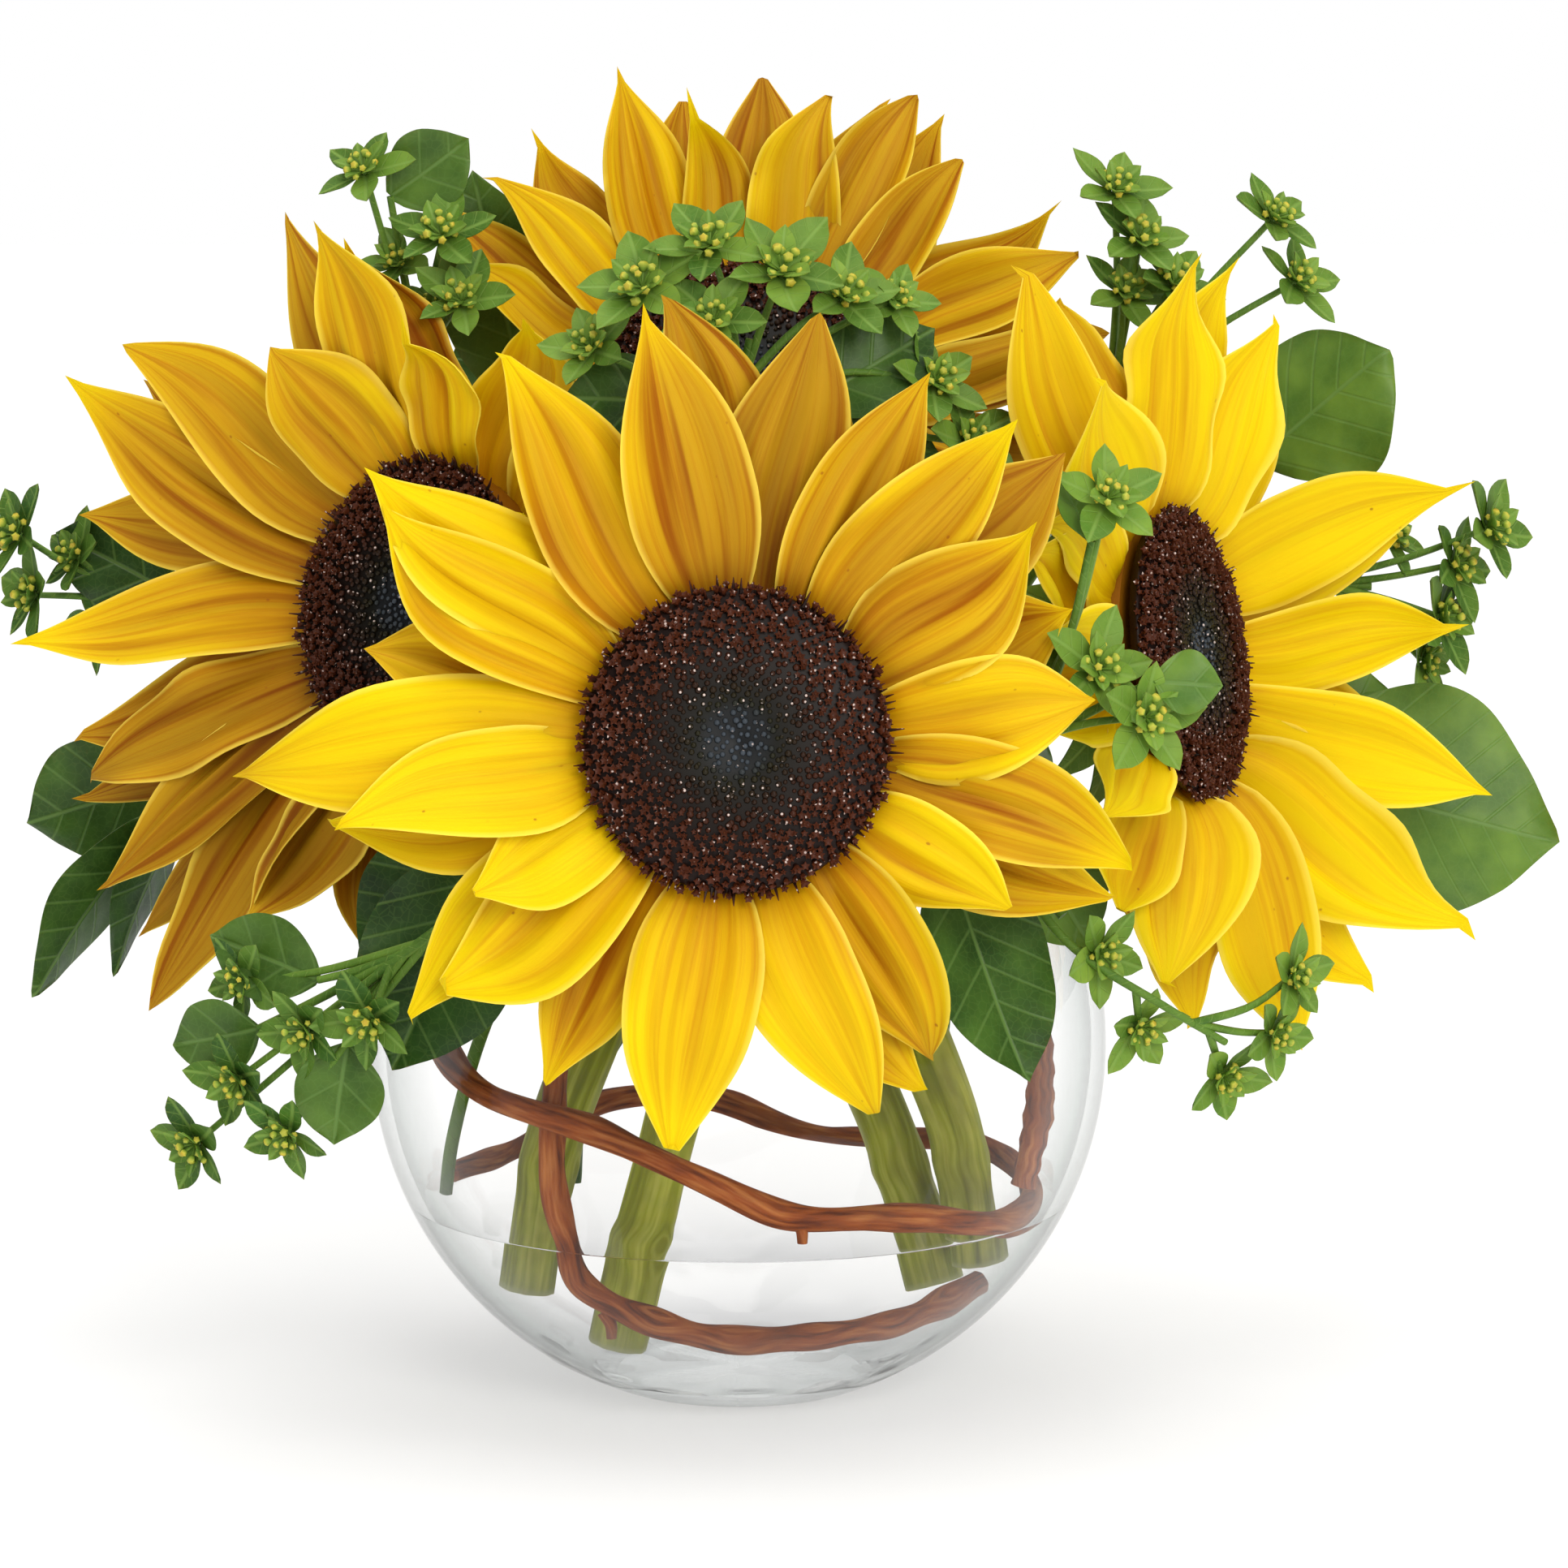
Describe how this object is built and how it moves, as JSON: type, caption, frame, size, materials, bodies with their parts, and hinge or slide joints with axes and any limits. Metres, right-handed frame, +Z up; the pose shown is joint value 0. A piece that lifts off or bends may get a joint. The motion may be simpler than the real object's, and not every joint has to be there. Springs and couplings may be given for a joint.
{
  "type": "sunflower bouquet in a glass bubble bowl",
  "caption": "Sunflowers with dark discs and golden petals, green filler sprays and broad leaves, standing in water in a clear round glass bowl with brown vines wound inside.",
  "frame": {"origin": "centre of the bowl's flat base, on the surface it rests on", "axes": "+Z up; -Y is the front, where the largest flower faces; +X to the right as seen from the front"},
  "size_m": [0.339, 0.1819, 0.2714],
  "materials": {
    "glass": "clear, polished",
    "water": "still, clear water",
    "disc": "rough dark brown florets",
    "petal": "soft satin petals",
    "stem": "matt olive green, ribbed",
    "leaf": "satin dark green, veined",
    "spray": "matt mid green with yellow florets",
    "vine": "matt red-brown bark"
  },
  "bodies": {
    "root": {"bowl": "glass", "disc_front": "disc", "disc_left": "disc", "disc_right": "disc", "disc_top": "disc", "leafy_left": "leaf", "leafy_lower_left": "leaf", "leafy_lower_right": "leaf", "leafy_right": "leaf", "leafy_upper_left": "leaf", "leafy_upper_right": "leaf", "petals_front": "petal", "petals_left": "petal", "petals_right": "petal", "petals_top": "petal", "spray_left": "spray", "spray_lower_left": "spray", "spray_lower_right": "spray", "spray_right": "spray", "spray_top": "spray", "spray_upper_left": "spray", "spray_upper_right": "spray", "stem_front": "stem", "stem_left": "stem", "stem_right": "stem", "stem_top": "stem", "vine_long": "vine", "vine_low": "vine", "vine_upright": "vine", "water": "water"}
  },
  "joints": []
}
